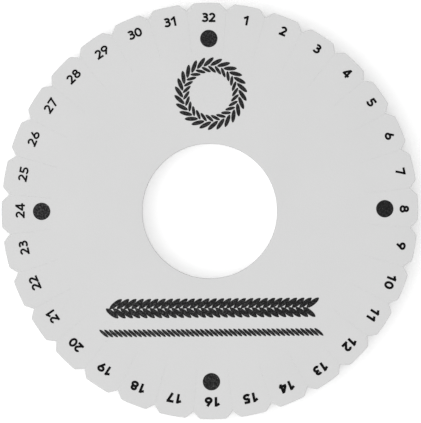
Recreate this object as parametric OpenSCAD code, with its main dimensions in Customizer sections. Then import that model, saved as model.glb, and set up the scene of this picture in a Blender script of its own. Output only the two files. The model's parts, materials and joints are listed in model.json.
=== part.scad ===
// Round foam braiding disk: a centre hole, a ring of flexing tabs parted by slits, and printed dots.
// The foot of the hole's axis is the origin, the printed face looks up, and tab 32 points along +Y.

/* [Foam sheet] */
// Outside diameter over the tab ends
disk_d = 108; // [88:0.5:150]
// Thickness of the foam sheet
thickness = 10; // [6:0.5:16]
// Diameter of the centre hole that the braid hangs through
hole_d = 35; // [20:0.5:48]

/* [Tabs and slits] */
// Number of tabs round the rim, in fours so that a tab lies on each axis
tab_count = 32; // [24:4:40]
// Depth of a slit from the rim to its blind inner end
slit_depth = 13; // [10:0.5:16]
// Width of a slit, which the soft foam closes round a cord
slit_w = 0.4; // [0.3:0.02:0.6]
// Depth of the V notch at a slit's mouth
notch_depth = 1.8; // [1.2:0.1:2.4]
// Width of the V notch across its mouth
notch_w = 3.8; // [2.4:0.1:4.4]
// Radius that rounds each notch shoulder into the rim
shoulder_r = 0.9; // [0.4:0.1:1.2]
// Radial width of the foam band that bends at the tabs' roots
band_w = 2; // [1.6:0.1:3]

/* [Printed dots] */
// Number of dots, evenly spaced
dot_count = 4; // [1,2,4]
// Diameter of a dot
dot_d = 4.5; // [3:0.1:5.4]
// Distance from the rim to the centre of a dot
dot_inset = 9.5; // [8.5:0.1:10]
// Thickness of the ink
ink_t = 0.05; // [0.03:0.01:0.1]
// Shift of the whole print against the cut foam, to the right
print_shift_x = 0.5; // [-1:0.05:1]
// Shift of the whole print against the cut foam, upwards
print_shift_y = 0.25; // [-1:0.05:1]
// Turn of the whole print against the cut foam, in degrees
print_turn = -0.5; // [-1:0.1:1]
// Drift within the print: the side dots lie this far to the right, the top and bottom dots to the left
print_drift = 0.4; // [-0.5:0.05:0.5]

/* [Fineness] */
// Steps in the arc that rounds a notch shoulder
shoulder_steps = 6; // [3:1:12]
// Steps in each half of a tab's rim arc
rim_steps = 6; // [3:1:12]
// Steps round a full circle
circle_steps = 128; // [32:8:256]

/* [Hidden] */
foam_colour = [0.85, 0.85, 0.85];
band_colour = [0.82, 0.82, 0.82];
ink_colour = [0.14, 0.14, 0.14];

rim_r = disk_d / 2;
root_x = rim_r - slit_depth;
ring_r = root_x - band_w;
pitch = 360 / tab_count;
half_pitch = pitch / 2;

// Tabs are numbered clockwise and the last one points along +Y.
function tab_angle(number) = 90 - number * pitch;
function two_digits(number) = number < 10 ? str("0", number) : str(number);
function tab_name(number) = str("tab_", two_digits(number));
function dot_name(number) = str("dot_", two_digits(number));

dotted_tabs = [for (i = [1:dot_count]) i * tab_count / dot_count];

function polar(r, angle) = [r * cos(angle), r * sin(angle)];
function turned(p, angle) = [p[0] * cos(angle) - p[1] * sin(angle), p[0] * sin(angle) + p[1] * cos(angle)];
function flipped(points) = [for (i = [len(points) - 1:-1:0]) [points[i][0], -points[i][1]]];
function arc(centre, r, from, to, steps) = [for (i = [0:steps]) centre + polar(r, from + (to - from) * i / steps)];

// One side of a notch, with the slit's axis along +X: the flank leaves the slit wall at flank_foot
// and the shoulder arc is tangent both to the flank and, from inside, to the rim.
flank_angle = atan2((notch_w - slit_w) / 2, notch_depth);
flank_way = polar(1, flank_angle);
flank_normal = polar(1, flank_angle + 90);
flank_foot = [rim_r - notch_depth, slit_w / 2];
shoulder_start = flank_foot + shoulder_r * flank_normal;
shoulder_along = shoulder_start * flank_way;
shoulder_reach = pow(shoulder_along, 2) - shoulder_start * shoulder_start + pow(rim_r - shoulder_r, 2);
shoulder_centre = shoulder_start + (sqrt(shoulder_reach) - shoulder_along) * flank_way;
shoulder_angle = atan2(shoulder_centre[1], shoulder_centre[0]);

// Where the slit wall meets the flat root of the tab.
root_corner = [(root_x - slit_w / 2 * sin(half_pitch)) / cos(half_pitch), slit_w / 2];

shoulder_arc = arc(shoulder_centre, shoulder_r, flank_angle - 90, shoulder_angle, shoulder_steps);
slit_side = concat([root_corner, flank_foot], shoulder_arc);
rim_arc = arc([0, 0], rim_r, shoulder_angle - half_pitch, 0, rim_steps);

// Right half of a tab's outline, from its root to the middle of its rim, with the tab along +X.
half_tab = concat(
    [for (p = slit_side) turned(p, -half_pitch)],
    [for (i = [1:rim_steps]) rim_arc[i]]
);
other_half = flipped(half_tab);
tab_outline = concat(half_tab, [for (i = [1:len(other_half) - 1]) other_half[i]]);

module centre_ring() {
    color(foam_colour)
        linear_extrude(thickness)
            difference() {
                circle(r = ring_r, $fn = circle_steps);
                circle(d = hole_d, $fn = circle_steps);
            }
}

// Foam inside the slits' inner ends: the part that bends when a tab is pushed up or down.
module flexure_band() {
    color(band_colour)
        linear_extrude(thickness)
            difference() {
                polygon([for (i = [0:tab_count - 1]) polar(root_x / cos(half_pitch), half_pitch + i * pitch)]);
                circle(r = ring_r, $fn = circle_steps);
            }
}

module tab(number) {
    color(foam_colour)
        rotate(tab_angle(number))
            linear_extrude(thickness)
                polygon(tab_outline);
}

module dot(number) {
    drift = print_drift * cos(2 * tab_angle(number));
    color(ink_colour)
        translate([print_shift_x + drift, print_shift_y, thickness])
            rotate(tab_angle(number) + print_turn)
                translate([rim_r - dot_inset, 0, 0])
                    cylinder(d = dot_d, h = ink_t, $fn = circle_steps);
}

centre_ring();
flexure_band();
for (number = [1:tab_count])
    tab(number);
for (number = dotted_tabs)
    dot(number);
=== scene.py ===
import json
import math

import bmesh
import bpy
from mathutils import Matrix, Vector

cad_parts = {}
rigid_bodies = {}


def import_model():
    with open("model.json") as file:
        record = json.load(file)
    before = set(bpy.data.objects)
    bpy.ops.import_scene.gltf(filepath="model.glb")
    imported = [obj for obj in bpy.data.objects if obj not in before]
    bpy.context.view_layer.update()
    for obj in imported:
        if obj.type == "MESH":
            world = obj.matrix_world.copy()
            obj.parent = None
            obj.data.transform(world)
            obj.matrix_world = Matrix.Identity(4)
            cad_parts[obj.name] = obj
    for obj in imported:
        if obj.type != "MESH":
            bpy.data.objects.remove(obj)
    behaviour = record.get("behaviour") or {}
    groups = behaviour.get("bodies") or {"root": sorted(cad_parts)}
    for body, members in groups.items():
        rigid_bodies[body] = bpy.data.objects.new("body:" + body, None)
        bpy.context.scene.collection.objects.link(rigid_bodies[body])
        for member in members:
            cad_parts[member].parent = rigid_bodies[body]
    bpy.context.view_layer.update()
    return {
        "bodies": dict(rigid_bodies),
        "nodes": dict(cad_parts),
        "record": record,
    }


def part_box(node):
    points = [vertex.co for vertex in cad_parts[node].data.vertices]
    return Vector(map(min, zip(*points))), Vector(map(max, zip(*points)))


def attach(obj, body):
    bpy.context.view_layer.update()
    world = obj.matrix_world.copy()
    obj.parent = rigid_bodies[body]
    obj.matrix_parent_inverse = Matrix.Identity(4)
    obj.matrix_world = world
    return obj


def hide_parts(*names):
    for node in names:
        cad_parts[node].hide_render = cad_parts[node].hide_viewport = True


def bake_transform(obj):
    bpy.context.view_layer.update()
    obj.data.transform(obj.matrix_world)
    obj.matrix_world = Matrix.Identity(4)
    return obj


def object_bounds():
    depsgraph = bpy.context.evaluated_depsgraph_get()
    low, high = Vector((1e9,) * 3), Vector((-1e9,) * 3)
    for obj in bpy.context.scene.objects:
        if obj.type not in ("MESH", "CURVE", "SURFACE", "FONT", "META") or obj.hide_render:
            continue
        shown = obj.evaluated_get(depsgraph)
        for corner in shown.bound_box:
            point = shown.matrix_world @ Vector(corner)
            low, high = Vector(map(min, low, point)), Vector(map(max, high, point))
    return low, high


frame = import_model()
mm = 0.001


# What the frame says about the disk
tabNames = sorted(name for name in frame["bodies"] if name.startswith("tab_"))
dotNames = sorted(name for name in frame["nodes"] if name.startswith("dot_"))
tabPitch = 2 * math.pi / len(tabNames)
eastTab = tabNames[len(tabNames) // 4 - 1]  # the tab that points along +X
eastLow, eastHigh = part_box(eastTab)
rimRadius = eastHigh.x
rootDistance = eastLow.x
foamTop = eastHigh.z
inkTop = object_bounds()[1].z
mounts = {mount["name"]: mount for mount in frame["record"]["mounts"]}
holeRadius = mounts["centre_hole"]["dims"]["r_mm"] * mm


def tabAngle(number):
    return math.pi / 2 - number * tabPitch


def outwardFrom(angle):
    return Vector((math.cos(angle), math.sin(angle), 0))


# Arithmetic on a Field adds Math nodes to its tree
class Field:
    def __init__(self, tree, socket):
        self.tree = tree
        self.socket = socket

    def math(self, operation, *others):
        node = self.tree.nodes.new("ShaderNodeMath")
        node.operation = operation
        for socket, value in zip(node.inputs, (self, *others)):
            plug(self.tree, socket, value)
        return Field(self.tree, node.outputs[0])

    def __add__(self, other):
        return self.math("ADD", other)

    def __sub__(self, other):
        return self.math("SUBTRACT", other)

    def __rsub__(self, other):
        return self.math("MULTIPLY_ADD", -1.0, other)

    def __mul__(self, other):
        return self.math("MULTIPLY", other)

    def __truediv__(self, other):
        return self.math("DIVIDE", other)

    # how far the field is from low to high, held between 0 and 1
    def share(self, low, high):
        return ((self - low) / (high - low)).math("MAXIMUM", 0.0).math("MINIMUM", 1.0)

    # the other way round: a field of 0 to 1 spread from low to high
    def spread(self, low, high):
        return self * (high - low) + low

    def sin(self):
        return self.math("SINE")

    def cos(self):
        return self.math("COSINE")

    def root(self):
        return self.math("SQRT")

    __radd__ = __add__
    __rmul__ = __mul__


def plug(tree, socket, value):
    if isinstance(value, Field):
        tree.links.new(value.socket, socket)
    elif isinstance(value, bpy.types.NodeSocket):
        tree.links.new(value, socket)
    else:
        socket.default_value = value


def addNode(tree, kind, inputs=None, **settings):
    node = tree.nodes.new(kind)
    for key, value in settings.items():
        setattr(node, key, value)
    for key, value in (inputs or {}).items():
        plug(tree, node.inputs[key], value)
    return node


def fieldOf(tree, kind, output=0, inputs=None, **settings):
    return Field(tree, addNode(tree, kind, inputs, **settings).outputs[output])


# Materials
def newMaterial(name):
    material = bpy.data.materials.new(name)
    material.use_nodes = True
    tree = material.node_tree
    return material, tree, tree.nodes["Principled BSDF"]


# A pattern of the given size, drawn out along X, Y and Z by stretch
def texture(tree, kind, size, output, stretch=(1, 1, 1), **settings):
    coords = addNode(tree, "ShaderNodeTexCoord")
    drawn = addNode(tree, "ShaderNodeMapping", {
        "Vector": coords.outputs["Object"], "Scale": [1 / side for side in stretch]})
    inputs = {"Vector": drawn.outputs["Vector"], "Scale": 1 / size}
    inputs.update(settings.pop("inputs", {}))
    return fieldOf(tree, kind, output, inputs, **settings)


def tintBetween(tree, amount, low, high):
    mix = addNode(tree, "ShaderNodeMix", {"Factor": amount}, data_type="RGBA")
    tintSockets = mix.inputs[6:8]  # the two colours
    for socket, tint in zip(tintSockets, (low, high)):
        plug(tree, socket, (*tint, 1) if isinstance(tint, tuple) else tint)
    return mix.outputs[2]


def finishSurface(tree, shader, finish, tint, rough, height):
    plug(tree, shader.inputs["Base Color"], tint)
    plug(tree, shader.inputs["Roughness"], rough.spread(*finish["roughness"]))
    shader.inputs["Specular IOR Level"].default_value = finish["shine"]
    bump = addNode(tree, "ShaderNodeBump", {
        "Strength": finish["bump"], "Distance": finish["bumpDepth"], "Height": height})
    plug(tree, shader.inputs["Normal"], bump.outputs["Normal"])


foamSheet = {
    "dark": (0.655, 0.656, 0.656),
    "pale": (0.735, 0.735, 0.734),
    "cellSize": 0.24 * mm,
    "grainSize": 0.09 * mm,
}
skinFinish = {
    "cloudSize": 14 * mm,
    "cellTone": 0.3,
    "grainTone": 0.35,
    "cloudTone": 0.4,
    "cellRelief": 0.7,
    "grainRelief": 0.5,
    "roughness": (0.72, 0.92),
    "shine": 0.25,
    "bump": 0.5,
    "bumpDepth": 0.03 * mm,
}


# Moulded face of the sheet: fine closed cells under a thin skin, faint clouding from handling
def foamSkinMaterial(skin):
    material, tree, shader = newMaterial("foamSkin")
    cells = texture(tree, "ShaderNodeTexVoronoi", foamSheet["cellSize"], "Distance", feature="SMOOTH_F1")
    grain = texture(tree, "ShaderNodeTexNoise", foamSheet["grainSize"], 0, inputs={"Detail": 3.0})
    cloud = texture(tree, "ShaderNodeTexNoise", skin["cloudSize"], 0, inputs={"Detail": 4.0})
    tone = grain * skin["grainTone"] + cells * skin["cellTone"] + cloud * skin["cloudTone"]
    tint = tintBetween(tree, tone, foamSheet["dark"], foamSheet["pale"])
    height = cells * skin["cellRelief"] + grain * skin["grainRelief"]
    finishSurface(tree, shader, skin, tint, grain, height)
    return material


cutFinish = {
    # painted shade: a darker tint for the insides of the opened cells and pores
    "pitShade": (0.43, 0.43, 0.43),
    "pitShadeStrength": 0.6,
    "cellSize": 0.36 * mm,
    "cellWalls": (0.06, 0.4),  # from the middle of a cell's wall to where the cell is fully open
    "cellPatches": (0.3, 0.7),  # the clouding at which cells start to show, and at which all do
    "cellPits": 0.6,
    "poreSpacing": 0.75 * mm,
    "poreChance": (0.4, 0.95),
    "poreRadius": (0.05, 0.35),  # in pore spacings
    "poreEdge": 2.5,  # how sharp a pore's edge is
    "porePits": 0.8,
    "cloudSize": 2.8 * mm,
    "dragSize": 0.5 * mm,
    "dragStretch": (1, 1, 24),
    "grainTone": 0.4,
    "cloudTone": 0.3,
    "dragTone": 0.3,
    "grainRelief": 0.4,
    "dragRelief": 0.6,
    "roughness": (0.8, 0.95),
    "shine": 0.2,
    "bump": 0.8,
    "bumpDepth": 0.12 * mm,
}


# Die-cut wall: the blade opens the cells, so they show as small pits of many sizes, with painted shade
# # darkening them; it also leaves faint drag lines down the wall
def foamCutMaterial(cut):
    material, tree, shader = newMaterial("foamCut")
    cells = texture(tree, "ShaderNodeTexVoronoi", cut["cellSize"], "Distance", feature="DISTANCE_TO_EDGE")
    pores = texture(tree, "ShaderNodeTexVoronoi", cut["poreSpacing"], "Distance", feature="F1")
    chance = texture(tree, "ShaderNodeTexVoronoi", cut["poreSpacing"], "Color", feature="F1")
    grain = texture(tree, "ShaderNodeTexNoise", foamSheet["grainSize"], 0, inputs={"Detail": 3.0})
    cloud = texture(tree, "ShaderNodeTexNoise", cut["cloudSize"], 0, inputs={"Detail": 3.0})
    drag = texture(tree, "ShaderNodeTexNoise", cut["dragSize"], 0, cut["dragStretch"])
    small = cells.share(*cut["cellWalls"]) * cloud.share(*cut["cellPatches"])
    poreRadius = chance.share(*cut["poreChance"]).spread(*cut["poreRadius"])
    opened = ((1.0 - pores / poreRadius) * cut["poreEdge"]).share(0.0, 1.0)
    pits = small * cut["cellPits"] + opened * cut["porePits"]
    tone = grain * cut["grainTone"] + cloud * cut["cloudTone"] + drag * cut["dragTone"]
    wall = tintBetween(tree, tone, foamSheet["dark"], foamSheet["pale"])
    # painted shade: the pits are tinted darker, as if shade fell in them
    tint = tintBetween(tree, pits.math("MINIMUM", 1.0) * cut["pitShadeStrength"], wall, cut["pitShade"])
    height = grain * cut["grainRelief"] + drag * cut["dragRelief"] - pits
    finishSurface(tree, shader, cut, tint, grain, height)
    return material


inkFilm = {
    "pinholeSize": 0.42 * mm,
    "pinholeEdge": (0.05, 0.1),  # in pinhole spacings
    "pinholePatches": (0.5, 0.6),  # the wear at which pinholes start to open, and at which all are open
    "wornPatches": (0.45, 0.66),
    "leftRightTone": 0.45,  # how much paler the worn ink is at the left rim than in the middle, and how much darker at the right
    "cellTone": 0.15,
    "cellRelief": 0.7,
    "patchRelief": 0.3,
    "roughness": (0.5, 0.75),
    "bump": 0.5,
    "bumpDepth": 0.03 * mm,
}
# Ink lies thinly on broad shapes and thickly on fine strokes
broadInk = {
    **inkFilm,
    "deep": (0.002, 0.002, 0.0022),
    "worn": (0.048, 0.048, 0.049),
    "patchSize": 0.4 * mm,
    "pinholes": 0.8,
    "shine": 0.1,
}
strokeInk = {
    **inkFilm,
    "deep": (0.0008, 0.0008, 0.0009),
    "worn": (0.008, 0.008, 0.0085),
    "patchSize": 0.45 * mm,
    "pinholes": 0.1,
    "shine": 0.05,
}


# Screen-printed ink: thin enough for the foam's cells to show through it, with a few pinholes, and
# # paler towards the left and darker towards the right
def inkMaterial(name, ink):
    material, tree, shader = newMaterial(name)
    cells = texture(tree, "ShaderNodeTexVoronoi", foamSheet["cellSize"], "Distance", feature="SMOOTH_F1")
    patch = texture(tree, "ShaderNodeTexNoise", ink["patchSize"], 0, inputs={"Detail": 4.0})
    holes = texture(tree, "ShaderNodeTexVoronoi", ink["pinholeSize"], "Distance", feature="F1")
    wear = patch.share(*ink["wornPatches"]) + cells * ink["cellTone"]
    coords = addNode(tree, "ShaderNodeTexCoord")
    place = addNode(tree, "ShaderNodeSeparateXYZ", {"Vector": coords.outputs["Object"]})
    rightward = Field(tree, place.outputs["X"]).share(-rimRadius, rimRadius)
    # the worn ink colour runs from paler at the left rim to darker at the right
    leftTint = tuple(part * (1 + ink["leftRightTone"]) for part in ink["worn"])
    rightTint = tuple(part * (1 - ink["leftRightTone"]) for part in ink["worn"])
    film = tintBetween(tree, wear, ink["deep"], tintBetween(tree, rightward, leftTint, rightTint))
    bare = (1.0 - holes.share(*ink["pinholeEdge"])) * patch.share(*ink["pinholePatches"])
    tint = tintBetween(tree, bare * ink["pinholes"], film, foamSheet["dark"])
    height = cells * ink["cellRelief"] + patch * ink["patchRelief"]
    finishSurface(tree, shader, ink, tint, patch, height)
    return material


foamSkin = foamSkinMaterial(skinFinish)
foamCut = foamCutMaterial(cutFinish)
printedInk = inkMaterial("printedInk", broadInk)
figureInk = inkMaterial("figureInk", strokeInk)
print("materials ready")


# Geometry Nodes helpers
def newTree(name, sizes):
    tree = bpy.data.node_groups.new(name, "GeometryNodeTree")
    tree.interface.new_socket("Geometry", in_out="INPUT", socket_type="NodeSocketGeometry")
    tree.interface.new_socket("Geometry", in_out="OUTPUT", socket_type="NodeSocketGeometry")
    for key in sizes:
        tree.interface.new_socket(key, in_out="INPUT", socket_type="NodeSocketFloat")
    entry = addNode(tree, "NodeGroupInput")
    return tree, entry.outputs["Geometry"], {key: Field(tree, entry.outputs[key]) for key in sizes}


def splitPosition(tree):
    place = addNode(tree, "GeometryNodeInputPosition")
    parts = addNode(tree, "ShaderNodeSeparateXYZ", {"Vector": place.outputs[0]})
    return [Field(tree, socket) for socket in parts.outputs]


def movePoints(tree, geometry, x, y, z):
    place = addNode(tree, "ShaderNodeCombineXYZ", {"X": x, "Y": y, "Z": z})
    moved = addNode(tree, "GeometryNodeSetPosition", {"Geometry": geometry, "Position": place.outputs[0]})
    return moved.outputs[0]


def smoothButCreased(tree, geometry, creaseAngle):
    angle = fieldOf(tree, "GeometryNodeInputMeshEdgeAngle")
    flat = angle.math("LESS_THAN", creaseAngle)
    faces = addNode(tree, "GeometryNodeSetShadeSmooth", {"Geometry": geometry})
    edges = addNode(tree, "GeometryNodeSetShadeSmooth", {
        "Geometry": faces.outputs[0], "Shade Smooth": flat}, domain="EDGE")
    return edges.outputs[0]


skinFacing = 0.7  # a face that looks this far up or down is a face of the sheet, not a cut wall


def closeTree(tree, geometry, material, faceMaterial=None):
    real = addNode(tree, "GeometryNodeRealizeInstances", {"Geometry": geometry})
    last = addNode(tree, "GeometryNodeSetMaterial", {"Geometry": real.outputs[0], "Material": material})
    if faceMaterial:
        normal = addNode(tree, "GeometryNodeInputNormal")
        upright = addNode(tree, "ShaderNodeSeparateXYZ", {"Vector": normal.outputs[0]})
        level = Field(tree, upright.outputs["Z"]).math("ABSOLUTE").math("GREATER_THAN", skinFacing)
        last = addNode(tree, "GeometryNodeSetMaterial", {
            "Geometry": last.outputs[0], "Selection": level, "Material": faceMaterial})
    end = addNode(tree, "NodeGroupOutput")
    tree.links.new(last.outputs[0], end.inputs["Geometry"])


def growPiece(name, tree, sizes, base=None):
    maker = bpy.data.objects.new(name + "Maker", base or bpy.data.meshes.new(name + "Maker"))
    bpy.context.scene.collection.objects.link(maker)
    nodes = maker.modifiers.new("nodes", "NODES")
    nodes.node_group = tree
    for item in tree.interface.items_tree:
        if item.in_out == "INPUT" and item.name in sizes:
            nodes[item.identifier] = float(sizes[item.name])
    grown = maker.evaluated_get(bpy.context.evaluated_depsgraph_get())
    mesh = bpy.data.meshes.new_from_object(grown)
    mesh.name = name
    bpy.data.objects.remove(maker)
    facesOutward(mesh)
    piece = bpy.data.objects.new(name, mesh)
    bpy.context.scene.collection.objects.link(piece)
    return piece


def facesOutward(mesh):
    shape = bmesh.new()
    shape.from_mesh(mesh)
    bmesh.ops.recalc_face_normals(shape, faces=shape.faces)
    shape.to_mesh(mesh)
    shape.free()


# Foam tab: the cut outline with rounded notch shoulders, a soft lip on both faces and a wall that
# the die left slightly hollow
foamTab = {
    "notchDepth": 1.8 * mm,
    "notchWidth": 3.8 * mm,
    "shoulderRadius": 0.9 * mm,
    "slitWidth": 0.004 * mm,  # the foam closes the knife cut
    "slitLip": 0.004 * mm,
    "rimLip": 0.18 * mm,
    "dish": 0.12 * mm,
    "bendLength": 4 * mm,  # how far from its root a tab bends
    "creaseAngle": math.radians(35),
    "steps": (41, 21, 17),  # along, across and up
    "wallEnd": 0.65,  # share of the steps along that lie on the slit wall
    "flankEnd": 0.775,  # and those up to the end of the notch's flank
    "lipStart": 0.5,  # share of the steps from mid height up that lie below the lip
}


def shoulderOf(tab):
    flank = math.atan2((tab["notchWidth"] - tab["slitWidth"]) / 2, tab["notchDepth"])
    way = Vector((math.cos(flank), math.sin(flank)))
    foot = Vector((rimRadius - tab["notchDepth"], tab["slitWidth"] / 2))
    start = foot + tab["shoulderRadius"] * Vector((-way.y, way.x))
    along = start.dot(way)
    reach = along ** 2 - start.length_squared + (rimRadius - tab["shoulderRadius"]) ** 2
    return flank, start + (math.sqrt(reach) - along) * way


def tabTree():
    tree, _, size = newTree("foamTabShape", (
        "rimRadius", "rootDistance", "thickness", "halfPitch", "slitWidth", "slitLip", "rimLip", "dish",
        "flankAngle", "shoulderAlong", "shoulderAcross", "shoulderRadius", "turn"))
    stepsAlong, stepsAcross, stepsUp = foamTab["steps"]
    block = addNode(tree, "GeometryNodeMeshCube", {
        "Size": (2, 2, 2), "Vertices X": stepsAlong, "Vertices Y": stepsAcross, "Vertices Z": stepsUp})
    u, v, w = splitPosition(tree)
    p = u * 0.5 + 0.5
    onWall = p.share(0.0, foamTab["wallEnd"])
    onFlank = p.share(foamTab["wallEnd"], foamTab["flankEnd"])
    onShoulder = p.share(foamTab["flankEnd"], 1.0)
    # height, and how far the lip and the hollow wall draw the outline in
    level = w.math("ABSOLUTE")
    upWall = level.share(0.0, foamTab["lipStart"])
    lipTurn = level.share(foamTab["lipStart"], 1.0) * (math.pi / 2)
    half = size["thickness"] * 0.5
    rise = (half - size["rimLip"]) * upWall + size["rimLip"] * lipTurn.sin()
    drawn = 1.0 - lipTurn.cos()
    inset = size["rimLip"] * drawn + size["dish"] * (1.0 - upWall * upWall)
    slitIn = size["slitWidth"] * 0.5 + size["slitLip"] * drawn
    # outline beside one slit, with the slit's axis as the first direction
    flankSin = size["flankAngle"].sin()
    flankCos = size["flankAngle"].cos()
    arcRadius = size["shoulderRadius"] - inset
    startAlong = size["shoulderAlong"] + arcRadius * flankSin
    startAcross = size["shoulderAcross"] - arcRadius * flankCos
    footAlong = startAlong - (startAcross - slitIn) * flankCos / flankSin
    rootAlong = (size["rootDistance"] - slitIn * size["halfPitch"].sin()) / size["halfPitch"].cos()
    arcFrom = size["flankAngle"] - math.pi / 2
    arcTo = size["shoulderAcross"].math("ARCTAN2", size["shoulderAlong"])
    arcTurn = arcFrom + (arcTo - arcFrom) * onShoulder
    along = rootAlong + (footAlong - rootAlong) * onWall + (startAlong - footAlong) * onFlank
    along = along + size["shoulderAlong"] + arcRadius * arcTurn.cos() - startAlong
    across = slitIn + (startAcross - slitIn) * onFlank
    across = across + size["shoulderAcross"] + arcRadius * arcTurn.sin() - startAcross
    # the same outline seen from the tab's middle line, filled by rows that bow out to the rim's arc
    edgeX = along * size["halfPitch"].cos() + across * size["halfPitch"].sin()
    edgeY = along * size["halfPitch"].sin() - across * size["halfPitch"].cos()
    y = edgeY * v
    reach = size["rimRadius"] - inset
    bow = (reach * reach - y * y).root() - (reach * reach - edgeY * edgeY).root()
    x = edgeX + bow * p.share(foamTab["wallEnd"], 1.0)
    turnSin = size["turn"].sin()
    turnCos = size["turn"].cos()
    shape = movePoints(
        tree, block.outputs["Mesh"],
        x * turnCos - y * turnSin, x * turnSin + y * turnCos, half + rise * w.math("SIGN"))
    closeTree(tree, smoothButCreased(tree, shape, foamTab["creaseAngle"]), foamCut, foamSkin)
    return tree


def makeTabs():
    tree = tabTree()
    flank, shoulder = shoulderOf(foamTab)
    sizes = {
        "rimRadius": rimRadius, "rootDistance": rootDistance, "thickness": foamTop, "halfPitch": tabPitch / 2,
        "flankAngle": flank, "shoulderAlong": shoulder.x, "shoulderAcross": shoulder.y}
    sizes.update(foamTab)
    for number, body in enumerate(tabNames, 1):
        angle = tabAngle(number)
        piece = growPiece("foamTab" + body[-2:], tree, {**sizes, "turn": angle})
        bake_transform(piece)
        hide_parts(body)


makeTabs()
print("tabs cut")


# Foam core: the ring round the centre hole, out to the flat roots of the tabs
foamCore = {
    "holeLip": 0.18 * mm,
    "dish": 0.14 * mm,
    "creaseAngle": math.radians(35),
    "weld": 0.001 * mm,
    "stepsPerTab": 12,
    # steps along the profile: top face, upper lip, hole wall, lower lip, bottom face, then the roots
    "profileSteps": (16, 6, 8, 6, 16, 4),
}


def coreTree():
    tree, _, size = newTree("foamCoreShape", (
        "holeRadius", "rootDistance", "thickness", "holeLip", "dish", "pitch"))
    steps = foamCore["profileSteps"]
    sheet = addNode(tree, "GeometryNodeMeshGrid", {
        "Size X": 1.0, "Size Y": 1.0, "Vertices X": foamCore["stepsPerTab"] * len(tabNames) + 1,
        "Vertices Y": sum(steps) + 1})
    u, v, _ = splitPosition(tree)
    turn = (u + 0.5) * (2 * math.pi)
    p = v + 0.5
    breaks = [sum(steps[:i]) / sum(steps) for i in range(len(steps) + 1)]
    top, upper, wall, lower, bottom, roots = [p.share(a, b) for a, b in zip(breaks, breaks[1:])]
    fromMiddle = turn - (turn / size["pitch"]).math("ROUND") * size["pitch"]
    outer = size["rootDistance"] / fromMiddle.cos()
    lip = size["holeLip"]
    mouth = size["holeRadius"] + lip
    upperTurn = upper * (math.pi / 2)
    lowerTurn = lower * (math.pi / 2)
    middle = wall * 2.0 - 1.0
    hollow = size["dish"] * (1.0 - middle * middle)
    r = outer + (mouth - outer) * top - lip * upperTurn.sin() + hollow
    r = r + lip * (1.0 - lowerTurn.cos()) + (outer - mouth) * bottom
    z = size["thickness"] - lip * (1.0 - upperTurn.cos()) - (size["thickness"] - lip * 2.0) * wall
    z = z - lip * lowerTurn.sin() + size["thickness"] * roots
    shape = movePoints(tree, sheet.outputs["Mesh"], r * turn.cos(), r * turn.sin(), z)
    whole = addNode(tree, "GeometryNodeMergeByDistance", {"Geometry": shape, "Distance": foamCore["weld"]})
    closeTree(tree, smoothButCreased(tree, whole.outputs[0], foamCore["creaseAngle"]), foamCut, foamSkin)
    return tree


def makeCore():
    sizes = {"holeRadius": holeRadius, "rootDistance": rootDistance, "thickness": foamTop, "pitch": tabPitch}
    piece = growPiece("foamCore", coreTree(), {**sizes, **foamCore})
    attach(piece, "core")
    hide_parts("centre_ring", "flexure_band")


makeCore()
print("core cut")


# Printed face: the dots show where the whole print sits against the cut foam
inkPrint = {
    "sink": 0.02 * mm,  # how far the ink soaks into the foam
}
inkBase = foamTop - inkPrint["sink"]
inkDepth = inkTop - inkBase


def dotMiddle(name):
    low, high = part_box(name)
    return Vector(((low.x + high.x) / 2, (low.y + high.y) / 2, 0))


printShift = sum((dotMiddle(name) for name in dotNames), Vector()) / len(dotNames)
eastDot = dotMiddle("dot" + eastTab[-3:]) - printShift
printTurn = math.atan2(eastDot.y, eastDot.x)


# Printed dots
inkDot = {
    "ragged": 0.03,  # unevenness of the edge and its size, in dot radii
    "raggedSize": 0.35,
    "creaseAngle": math.radians(40),
    "steps": 25,
}


def dotTree():
    tree, _, size = newTree("printedDotShape", (
        "centreX", "centreY", "radius", "base", "depth", "ragged", "seed"))
    block = addNode(tree, "GeometryNodeMeshCube", {
        "Size": (2, 2, 2), "Vertices X": inkDot["steps"], "Vertices Y": inkDot["steps"], "Vertices Z": 2})
    u, v, w = splitPosition(tree)
    # a square grid drawn onto a round patch
    x = u * (1.0 - v * v * 0.5).root()
    y = v * (1.0 - u * u * 0.5).root()
    spot = addNode(tree, "ShaderNodeCombineXYZ", {"X": x, "Y": y, "Z": size["seed"]})
    noise = fieldOf(tree, "ShaderNodeTexNoise", 0, {
        "Vector": spot.outputs[0], "Scale": 1 / inkDot["raggedSize"]})
    swell = (noise - 0.5) * size["ragged"] * (x * x + y * y) + 1.0
    reach = size["radius"] * swell
    height = size["base"] + size["depth"] * (w * 0.5 + 0.5)
    shape = movePoints(
        tree, block.outputs["Mesh"], size["centreX"] + reach * x, size["centreY"] + reach * y, height)
    closeTree(tree, smoothButCreased(tree, shape, inkDot["creaseAngle"]), printedInk)
    return tree


def makeDots():
    tree = dotTree()
    for name in dotNames:
        low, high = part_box(name)
        middle = dotMiddle(name)
        number = int(name[-2:])
        piece = growPiece("printedDot" + name[-2:], tree, {
            "centreX": middle.x, "centreY": middle.y, "radius": (high.x - low.x) / 2,
            "base": inkBase, "depth": inkDepth, "ragged": inkDot["ragged"], "seed": number})
        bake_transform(piece)
        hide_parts(name)


makeDots()
print("dots printed")


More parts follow.
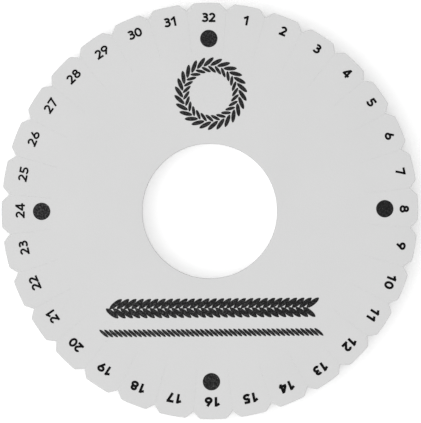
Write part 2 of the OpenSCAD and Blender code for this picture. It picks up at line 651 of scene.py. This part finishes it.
# Printed numbers: each figure is a few strokes in a box one unit high, as lines
# ("line", x0, y0, x1, y1) and ellipse arcs ("arc", x, y, radiusX, radiusY, from, to) in degrees
inkNumber = {
    "height": 2.5 * mm,
    "radius": 49.84 * mm,
    "figurePitch": 0.75,  # in heights, as the next two are
    "figureWidth": 0.78,
    "stroke": 0.227,
    "uneven": 0.1,
    "unevenSize": 0.5 * mm,
    "arcStep": 9,  # degrees
    # waves round the disk: bolder strokes, drift along the rim and drift out from the centre
    "bolder": (Vector((0.085, -0.12)), Vector((-0.075, 0))),
    "sway": (Vector((-0.1, -0.26)) * mm, Vector((0.11, 0.33)) * mm),
    "stray": (Vector((0.14, 0.11)) * mm, Vector((-0.02, -0.025)) * mm),
    "strokes": {
        "0": [("arc", 0.385, 0.5, 0.28, 0.38, 0, 360)],
        "1": [("line", 0.415, 0, 0.415, 1), ("line", 0.05, 0.69, 0.4, 0.87)],
        "2": [("arc", 0.35, 0.66, 0.24, 0.22, 160, -38), ("line", 0.545, 0.55, 0.15, 0.12),
              ("line", 0, 0.12, 0.7, 0.12)],
        "3": [("arc", 0.34, 0.72, 0.24, 0.16, 145, -90), ("arc", 0.34, 0.335, 0.28, 0.215, 90, -150),
              ("line", 0.22, 0.55, 0.36, 0.55)],
        "4": [("line", 0.56, 0, 0.56, 1), ("line", 0.53, 0.92, 0.13, 0.34), ("line", 0.02, 0.28, 0.8, 0.28)],
        "5": [("line", 0.17, 0.88, 0.72, 0.88), ("line", 0.26, 0.95, 0.2, 0.5),
              ("arc", 0.36, 0.335, 0.3, 0.215, 125, -150)],
        "6": [("arc", 0.42, 0.335, 0.28, 0.215, 0, 360), ("line", 0.2, 0.43, 0.56, 0.95)],
        "7": [("line", 0.06, 0.88, 0.8, 0.88), ("line", 0.68, 0.9, 0.3, 0)],
        "8": [("arc", 0.42, 0.705, 0.215, 0.175, 0, 360), ("arc", 0.42, 0.325, 0.27, 0.205, 0, 360)],
        "9": [("arc", 0.385, 0.665, 0.275, 0.215, 0, 360), ("line", 0.6, 0.57, 0.24, 0.05)],
    },
}


def strokePoints(stroke):
    if stroke[0] == "line":
        _, x0, y0, x1, y1 = stroke
        return [(x0, y0), (x1, y1)], False
    _, x, y, radiusX, radiusY, start, stop = stroke
    closed = abs(stop - start) == 360
    count = math.ceil(abs(stop - start) / inkNumber["arcStep"])
    turns = [math.radians(start + (stop - start) * i / count) for i in range(count + (not closed))]
    return [(x + radiusX * math.cos(t), y + radiusY * math.sin(t)) for t in turns], closed


# A print isn't quite even: a wave with one part that goes once round the disk and one that goes twice
def printWave(parts, angle):
    turns = (angle, 2 * angle)
    return sum(part.dot((math.cos(turn), math.sin(turn))) for part, turn in zip(parts, turns))


# Middle lines of a number's strokes, laid on its tab with its top towards the rim
def numberLines(number):
    angle = tabAngle(number) + printTurn
    outward = outwardFrom(angle)
    rightward = outwardFrom(angle - math.pi / 2)
    figures = str(number)
    span = inkNumber["figurePitch"] * (len(figures) - 1) + inkNumber["figureWidth"]
    middle = printShift + Vector((0, 0, inkBase + inkDepth / 2))
    middle += rightward * printWave(inkNumber["sway"], angle) + outward * printWave(inkNumber["stray"], angle)
    points, edges = [], []
    for place, figure in enumerate(figures):
        left = place * inkNumber["figurePitch"] - span / 2
        for stroke in inkNumber["strokes"][figure]:
            flat, closed = strokePoints(stroke)
            first = len(points)
            for x, y in flat:
                up = inkNumber["radius"] + (y - 0.5) * inkNumber["height"]
                points.append(middle + outward * up + rightward * (left + x) * inkNumber["height"])
            edges += [(first + i, first + i + 1) for i in range(len(flat) - 1)]
            edges += [(len(points) - 1, first)] if closed else []
    lines = bpy.data.meshes.new("numberLines")
    lines.from_pydata(points, edges, [])
    return lines


# The strokes become flat ribbons of ink, fused where they cross
def numberTree():
    tree, lines, size = newTree("printedNumberShape", (
        "strokeWidth", "base", "depth", "uneven", "unevenScale"))
    curve = addNode(tree, "GeometryNodeMeshToCurve", {"Mesh": lines})
    flat = addNode(tree, "GeometryNodeSetCurveNormal", {"Curve": curve.outputs[0]}, mode="Z_UP")
    place = addNode(tree, "GeometryNodeInputPosition")
    noise = fieldOf(tree, "ShaderNodeTexNoise", 0, {
        "Vector": place.outputs[0], "Scale": size["unevenScale"]})
    swell = (noise - 0.5) * size["uneven"] + 1.0
    section = addNode(tree, "GeometryNodeCurvePrimitiveQuadrilateral", {
        "Width": size["strokeWidth"], "Height": size["depth"]})
    ribbon = addNode(tree, "GeometryNodeCurveToMesh", {
        "Curve": flat.outputs[0], "Profile Curve": section.outputs[0], "Scale": swell, "Fill Caps": True})
    x, y, z = splitPosition(tree)
    upper = z.math("GREATER_THAN", size["base"] + size["depth"] * 0.5)
    film = movePoints(tree, ribbon.outputs[0], x, y, size["base"] + size["depth"] * upper)
    fused = addNode(
        tree, "GeometryNodeMeshBoolean", {"Self Intersection": True}, operation="UNION", solver="EXACT")
    tree.links.new(film, fused.inputs["Mesh 2"])
    closeTree(tree, fused.outputs["Mesh"], figureInk)
    return tree


def makeNumbers():
    tree = numberTree()
    sizes = {
        "base": inkBase, "depth": inkDepth,
        "uneven": inkNumber["uneven"], "unevenScale": 1 / inkNumber["unevenSize"]}
    for number, body in enumerate(tabNames, 1):
        bold = 1 + printWave(inkNumber["bolder"], tabAngle(number))
        sizes["strokeWidth"] = inkNumber["stroke"] * inkNumber["height"] * bold
        piece = growPiece("printedNumber" + body[-2:], tree, sizes, numberLines(number))
        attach(piece, body)


makeNumbers()
print("numbers printed")


# Printed ornament: leaf-shaped strands in rows, as in a plait, round a ring where ring is 1, and
# otherwise along a straight line, on which pathRadius has no effect
wreathRadius = 7.3 * mm
inkBraid = {
    "wreath": {
        "count": 52, "rows": 2, "ring": 1, "pathRadius": wreathRadius,
        "pathLength": 2 * math.pi * wreathRadius, "rowOffset": 0.95 * mm, "leafLength": 3.0 * mm,
        "leafWidth": 0.95 * mm, "lean": math.radians(38), "height": 30.2 * mm},
    "plait": {
        "count": 56, "rows": 2, "ring": 0, "pathRadius": 1, "pathLength": 53 * mm,
        "rowOffset": 1.2 * mm, "leafLength": 4.0 * mm, "leafWidth": 1.3 * mm, "lean": math.radians(38),
        "height": -25.4 * mm},
    "twist": {
        "count": 46, "rows": 1, "ring": 0, "pathRadius": 1, "pathLength": 57 * mm,
        "rowOffset": 0, "leafLength": 3.0 * mm, "leafWidth": 0.78 * mm, "lean": math.radians(40),
        "height": -31.8 * mm},
}
inkLeaf = {
    "steps": (9, 3),  # along and across
    "tip": 0.96,  # 1 would bring the ends to a point
}


def braidTree():
    tree, _, size = newTree("printedBraidShape", (
        "count", "rows", "ring", "pathRadius", "pathLength", "rowOffset", "leafLength", "leafWidth", "lean",
        "height", "shiftX", "shiftY", "turn", "base", "depth"))
    # one leaf
    stepsAlong, stepsAcross = inkLeaf["steps"]
    block = addNode(tree, "GeometryNodeMeshCube", {
        "Size": (2, 2, 2), "Vertices X": stepsAlong, "Vertices Y": stepsAcross, "Vertices Z": 2})
    u, v, w = splitPosition(tree)
    girth = (1.0 - u * u * inkLeaf["tip"]).root()
    leaf = movePoints(
        tree, block.outputs["Mesh"],
        u * size["leafLength"] * 0.5, v * girth * size["leafWidth"] * 0.5, size["depth"] * (w * 0.5 + 0.5))
    # where the leaves lie, each row half a step on from the last
    line = addNode(tree, "GeometryNodeMeshLine", {"Count": size["count"]})
    index = fieldOf(tree, "GeometryNodeInputIndex")
    row = index.math("MODULO", size["rows"])
    step = (index / size["rows"]).math("FLOOR")
    side = row * 2.0 - 1.0
    along = ((step + row * 0.5 + 0.25) * size["rows"] / size["count"] - 0.5) * size["pathLength"]
    aside = size["rowOffset"] * side
    bend = along / size["pathRadius"] * size["ring"]
    reach = size["pathRadius"] + aside
    x = along + (reach * bend.sin() - along) * size["ring"]
    y = aside + (reach * bend.cos() - aside) * size["ring"] + size["height"]
    turnSin = size["turn"].sin()
    turnCos = size["turn"].cos()
    spots = movePoints(
        tree, line.outputs[0],
        size["shiftX"] + x * turnCos - y * turnSin, size["shiftY"] + x * turnSin + y * turnCos, size["base"])
    facing = addNode(tree, "ShaderNodeCombineXYZ", {"Z": size["turn"] - bend + size["lean"] * side})
    grown = (reach / size["pathRadius"] - 1.0) * size["ring"] + 1.0
    swell = addNode(tree, "ShaderNodeCombineXYZ", {"X": grown, "Y": grown, "Z": 1.0})
    leaves = addNode(tree, "GeometryNodeInstanceOnPoints", {
        "Points": spots, "Instance": leaf, "Rotation": facing.outputs[0], "Scale": swell.outputs[0]})
    closeTree(tree, leaves.outputs[0], printedInk)
    return tree


def makeBraids():
    tree = braidTree()
    place = {
        "shiftX": printShift.x, "shiftY": printShift.y, "turn": printTurn,
        "base": inkBase, "depth": inkDepth}
    for name, sizes in inkBraid.items():
        piece = growPiece("printed" + name.capitalize(), tree, {**place, **sizes})
        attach(piece, "core")


makeBraids()
print("ornament printed")


# Studio: a pale floor that reads white behind the disk and keeps its shadow
studio = {
    "floorSize": 6.0,
    "floorDrop": 0.02 * mm,
    "floorTint": (0.9, 0.9, 0.9, 1),
    "floorGlow": 0.33,
    "skyLight": 0.5,
    "skySeen": 1.0,
    "panelSize": 1.0,
    "panels": {  # power and place
        "keyPanel": (6.8, Vector((-0.36, -0.12, 1.02))),
        "fillPanel": (1.0, Vector((0.72, 0.3, 0.75))),
    },
}


def seenDirectly(tree):
    path = addNode(tree, "ShaderNodeLightPath")
    seen = Field(tree, path.outputs["Is Camera Ray"])
    seen = seen.math("MAXIMUM", path.outputs["Is Glossy Ray"])
    return seen.math("MAXIMUM", path.outputs["Is Transmission Ray"])


def makeFloor():
    half = studio["floorSize"] / 2
    mesh = bpy.data.meshes.new("floor")
    corners = [(-half, -half), (half, -half), (half, half), (-half, half)]
    mesh.from_pydata([(x, y, -studio["floorDrop"]) for x, y in corners], [], [(0, 1, 2, 3)])
    material = bpy.data.materials.new("paleFloor")
    material.use_nodes = True
    tree = material.node_tree
    tree.nodes.clear()
    paper = addNode(tree, "ShaderNodeBsdfDiffuse", {"Color": studio["floorTint"]})
    glow = addNode(tree, "ShaderNodeEmission", {"Strength": seenDirectly(tree) * studio["floorGlow"]})
    both = addNode(tree, "ShaderNodeAddShader")
    end = addNode(tree, "ShaderNodeOutputMaterial")
    tree.links.new(paper.outputs[0], both.inputs[0])
    tree.links.new(glow.outputs[0], both.inputs[1])
    tree.links.new(both.outputs[0], end.inputs["Surface"])
    mesh.materials.append(material)
    floor = bpy.data.objects.new("floor", mesh)
    bpy.context.scene.collection.objects.link(floor)


def makeSky():
    world = bpy.data.worlds.new("studioSky")
    world.use_nodes = True
    bpy.context.scene.world = world
    tree = world.node_tree
    sky = tree.nodes["Background"]
    sky.inputs["Color"].default_value = (1, 1, 1, 1)
    extra = studio["skySeen"] - studio["skyLight"]
    plug(tree, sky.inputs["Strength"], seenDirectly(tree) * extra + studio["skyLight"])


def makePanels():
    for name, (power, place) in studio["panels"].items():
        lamp = bpy.data.lights.new(name, "AREA")
        lamp.energy = power
        lamp.size = studio["panelSize"]
        panel = bpy.data.objects.new(name, lamp)
        panel.location = place
        panel.rotation_euler = (-place).to_track_quat("-Z", "Y").to_euler()
        bpy.context.scene.collection.objects.link(panel)


makeFloor()
makeSky()
makePanels()
print("studio lit")


# Camera: straight down on the printed face, from far enough for the hole's wall to stay hidden
photoView = {
    "distance": 3.0,
    "seenHeight": 109.7 * mm,  # of the printed face, over the image's longer side
    "aside": Vector((0.19 * mm, -0.11 * mm)),
    "roll": math.radians(-0.94),
    "sensor": 36.0,
    "clip": (0.01, 20),
}


def makeCamera():
    lens = bpy.data.cameras.new("photoCamera")
    lens.sensor_width = photoView["sensor"]
    lens.lens = photoView["sensor"] * photoView["distance"] / photoView["seenHeight"]
    lens.clip_start, lens.clip_end = photoView["clip"]
    camera = bpy.data.objects.new("photoCamera", lens)
    camera.location = (*photoView["aside"], foamTop + photoView["distance"])
    camera.rotation_euler = (0, 0, photoView["roll"])
    bpy.context.scene.collection.objects.link(camera)
    bpy.context.scene.camera = camera


makeCamera()
bpy.context.scene.view_settings.view_transform = "Standard"
print("camera set")
